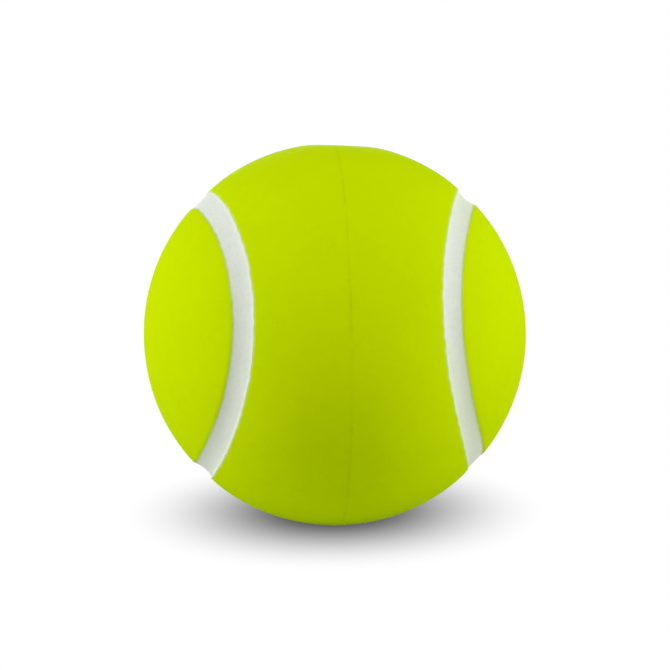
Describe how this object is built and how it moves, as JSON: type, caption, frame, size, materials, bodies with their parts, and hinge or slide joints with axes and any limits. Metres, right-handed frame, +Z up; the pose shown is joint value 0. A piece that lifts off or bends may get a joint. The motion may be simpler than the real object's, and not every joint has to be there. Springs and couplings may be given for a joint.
{
  "type": "foam tennis ball",
  "caption": "Soft moulded foam ball in tennis-ball form: smooth lime green skin panels round a recessed white seam, over a solid foam core, for squeezing, play and practice.",
  "frame": {"origin": "centre of the ball", "axes": "-Y towards the front, where the waist of the front panel faces 20 degrees above the horizon as the ball lies in the picture; +Z up; the mould line lies in the plane X = 0; +X right as seen from the front"},
  "size_m": [0.066, 0.066, 0.0659],
  "materials": {
    "foam": "matte",
    "green_skin": "satin",
    "white_seam": "satin"
  },
  "bodies": {
    "root": {"foam_core": "foam", "front_panel_left": "green_skin", "front_panel_right": "green_skin", "rear_panel_left": "green_skin", "rear_panel_right": "green_skin", "seam_left": "white_seam", "seam_right": "white_seam"}
  },
  "joints": []
}
